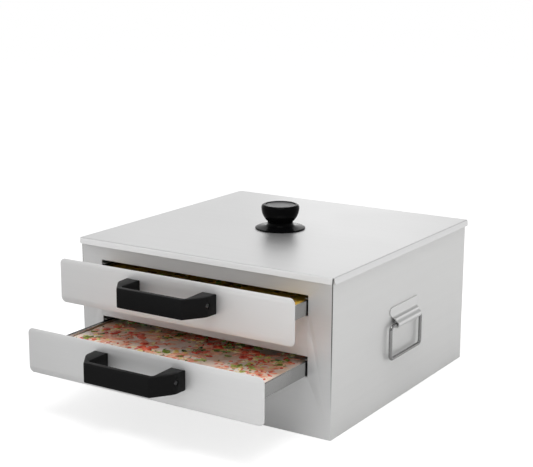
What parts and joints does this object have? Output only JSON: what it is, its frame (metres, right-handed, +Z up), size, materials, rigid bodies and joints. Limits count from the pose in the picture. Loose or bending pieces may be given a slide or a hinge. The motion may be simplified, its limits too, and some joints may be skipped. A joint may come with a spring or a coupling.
{
  "type": "rice noodle roll steamer",
  "caption": "Square stainless steaming box with a lift-off lid, pull-out drawers that carry shallow pans, a water pan in its base and folding side bails.",
  "frame": {"origin": "centre of the box's flat underside", "axes": "+Z up, -Y out of the drawer side, +X to the right seen from the drawer side"},
  "size_m": [0.39, 0.5379, 0.2299],
  "materials": {
    "cabinet_steel": "satin brushed stainless sheet",
    "front_steel": "satin brushed stainless sheet",
    "pan_floor_steel": "satin stainless sheet",
    "lid_steel": "satin brushed stainless sheet",
    "rail_steel": "mill finish stainless sheet",
    "bracket_steel": "pressed stainless sheet",
    "bail_wire_steel": "bright stainless wire",
    "drawer_plate_steel": "satin brushed stainless plate",
    "drawer_frame_steel": "folded stainless sheet",
    "steaming_pan_steel": "bright stainless sheet",
    "fastener_steel": "bright stainless",
    "knob_plastic": "black, high gloss",
    "knob_cap_plastic": "dark grey, satin",
    "handle_plastic": "black, satin",
    "upper_rice_sheet": "steamed golden sheet, moist",
    "lower_rice_sheet": "steamed white sheet with filling, moist"
  },
  "bodies": {
    "cabinet": {"cabinet_wrap": "cabinet_steel", "front_wall": "front_steel", "water_pan": "pan_floor_steel", "left_handle_bracket": "bracket_steel", "upper_left_rail": "rail_steel", "lower_left_rail": "rail_steel", "right_handle_bracket": "bracket_steel", "upper_right_rail": "rail_steel", "lower_right_rail": "rail_steel"},
    "lid": {"lid_panel": "lid_steel", "lid_knob": "knob_plastic", "knob_cap": "knob_cap_plastic", "knob_washer": "fastener_steel", "knob_screw": "fastener_steel"},
    "upper_drawer": {"upper_drawer_plate": "drawer_plate_steel", "upper_drawer_frame": "drawer_frame_steel", "upper_steaming_pan": "steaming_pan_steel", "upper_rice_sheet": "upper_rice_sheet", "upper_handle": "handle_plastic", "upper_handle_brackets": "fastener_steel", "upper_handle_screws": "fastener_steel"},
    "lower_drawer": {"lower_drawer_plate": "drawer_plate_steel", "lower_drawer_frame": "drawer_frame_steel", "lower_steaming_pan": "steaming_pan_steel", "lower_rice_sheet": "lower_rice_sheet", "lower_handle": "handle_plastic", "lower_handle_brackets": "fastener_steel", "lower_handle_screws": "fastener_steel"},
    "right_bail": {"right_bail": "bail_wire_steel"},
    "left_bail": {"left_bail": "bail_wire_steel"}
  },
  "joints": [
    {"name": "upper_drawer_slide", "type": "slide", "parent": "cabinet", "child": "upper_drawer", "axis": [0, -1, 0], "range_m": [-0.0577, 0.212]},
    {"name": "lower_drawer_slide", "type": "slide", "parent": "cabinet", "child": "lower_drawer", "axis": [0, -1, 0], "range_m": [-0.1197, 0.15]},
    {"name": "lid_lift", "type": "slide", "parent": "cabinet", "child": "lid", "axis": [0, 0, 1], "range_m": [0, 0.15]},
    {"name": "right_bail_swing", "type": "hinge", "parent": "cabinet", "child": "right_bail", "pos_m": [0.1907, 0, 0.1036], "axis": [0, -1, 0], "range_deg": [0, 175]},
    {"name": "left_bail_swing", "type": "hinge", "parent": "cabinet", "child": "left_bail", "pos_m": [-0.1907, 0, 0.1036], "axis": [0, 1, 0], "range_deg": [0, 175]}
  ]
}
